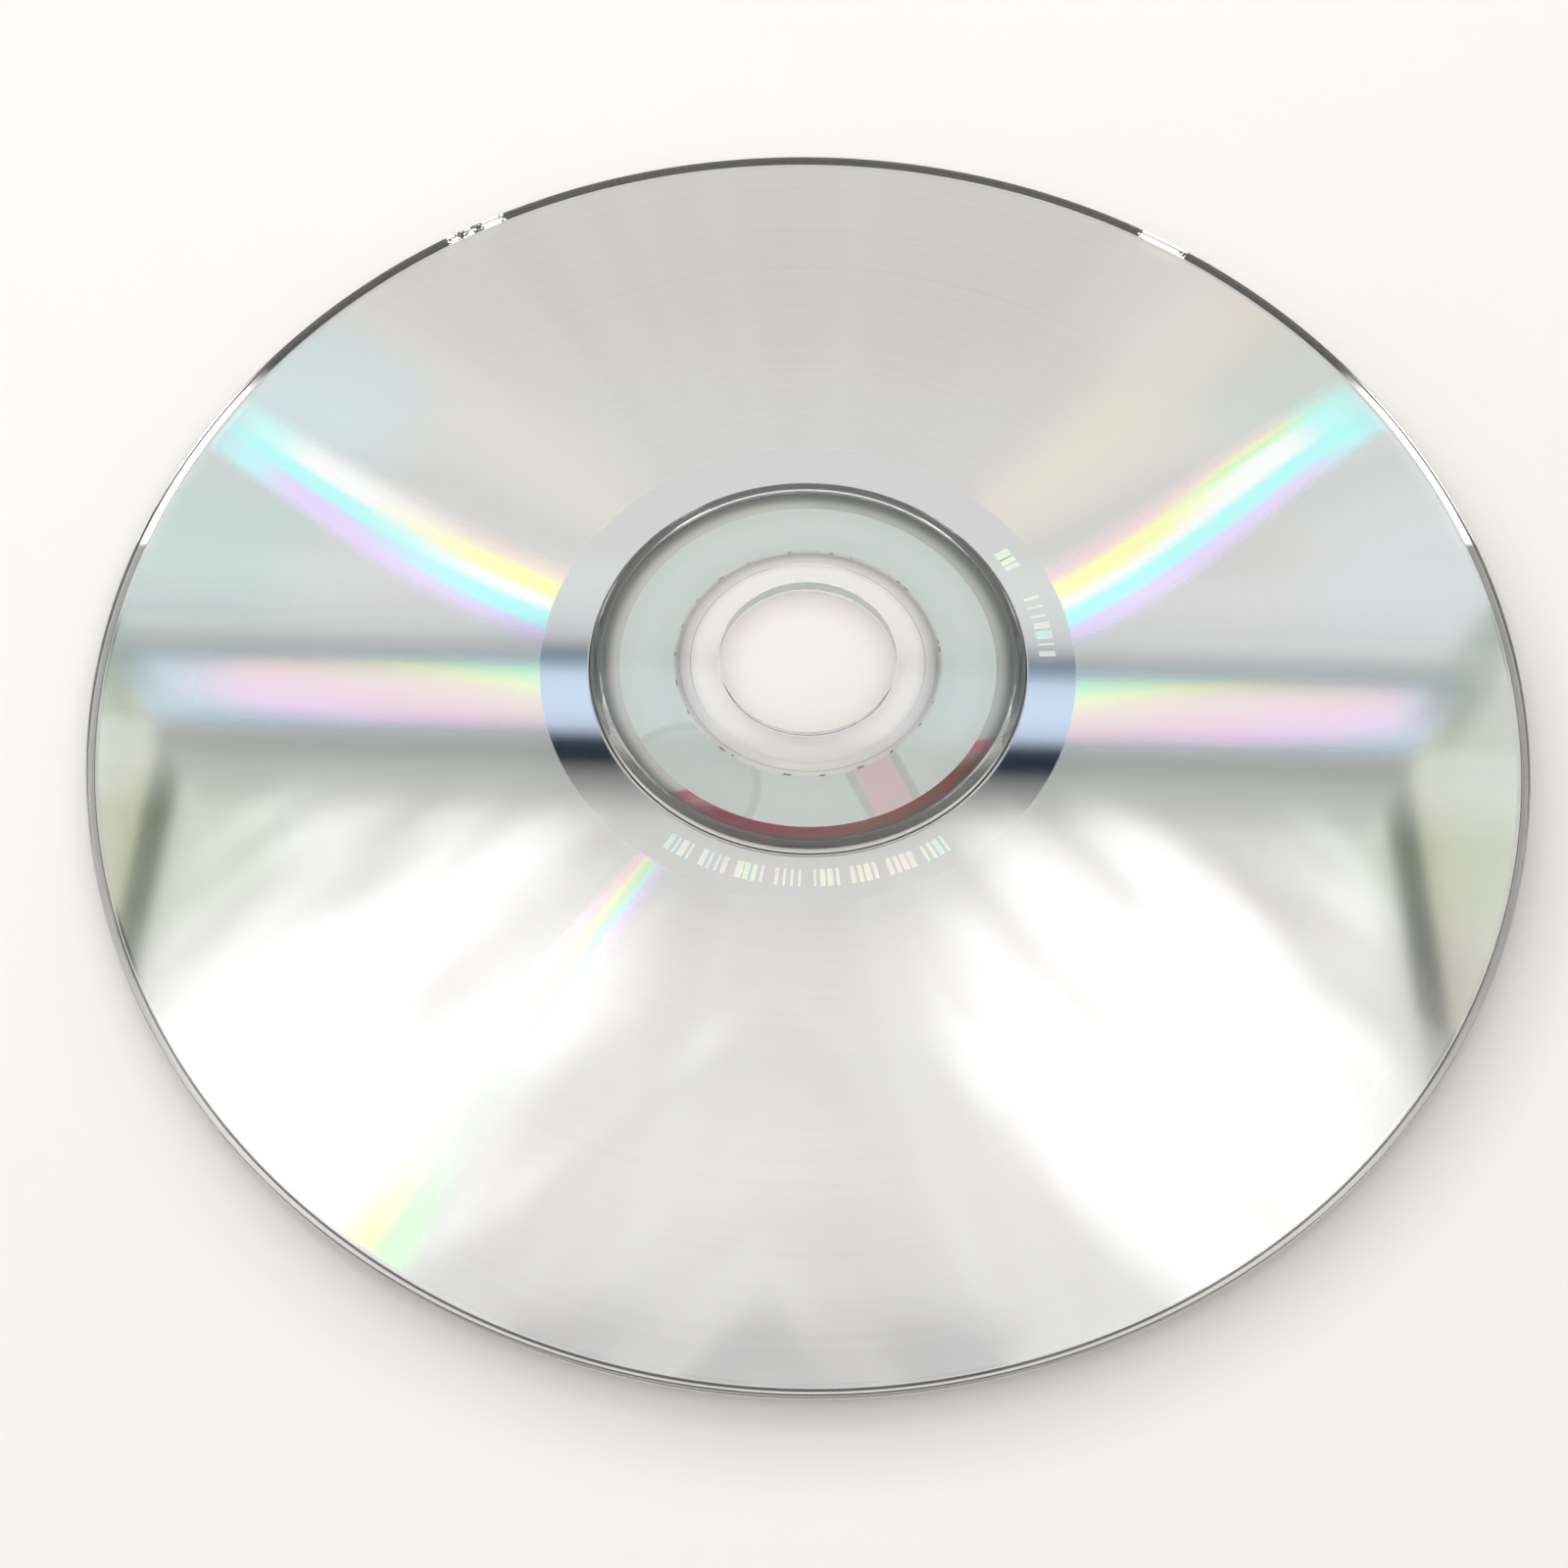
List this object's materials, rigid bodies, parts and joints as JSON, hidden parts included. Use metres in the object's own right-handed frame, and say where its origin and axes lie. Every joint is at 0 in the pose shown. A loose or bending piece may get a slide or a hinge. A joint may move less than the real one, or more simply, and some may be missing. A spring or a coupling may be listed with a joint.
{
  "type": "compact disc",
  "caption": "Round optical disc with a centre hole, a clear hub with a stacking ring, a mirrored data area and a printed label side.",
  "frame": {"origin": "middle of the centre hole, on the lowest face of the label print, which the disc lies on", "axes": "+Z along the disc's axis, from the label side to the data side; X and Y lie in the disc"},
  "size_m": [0.12, 0.12, 0.0014],
  "materials": {
    "clear_plastic": "clear moulded polycarbonate, polished",
    "metal_film": "sputtered aluminium, mirror bright, with fine recorded tracks",
    "clear_lacquer": "clear cured lacquer, glossy",
    "white_ink": "screen-printed white undercoat",
    "hub_ink": "thin colour print, satin",
    "label_ink": "colour print over white, satin"
  },
  "bodies": {
    "root": {"polycarbonate_disc": "clear_plastic", "reflective_layer": "metal_film", "protective_lacquer": "clear_lacquer", "white_base_coat": "white_ink", "hub_print": "hub_ink", "label_print": "label_ink"}
  },
  "joints": []
}
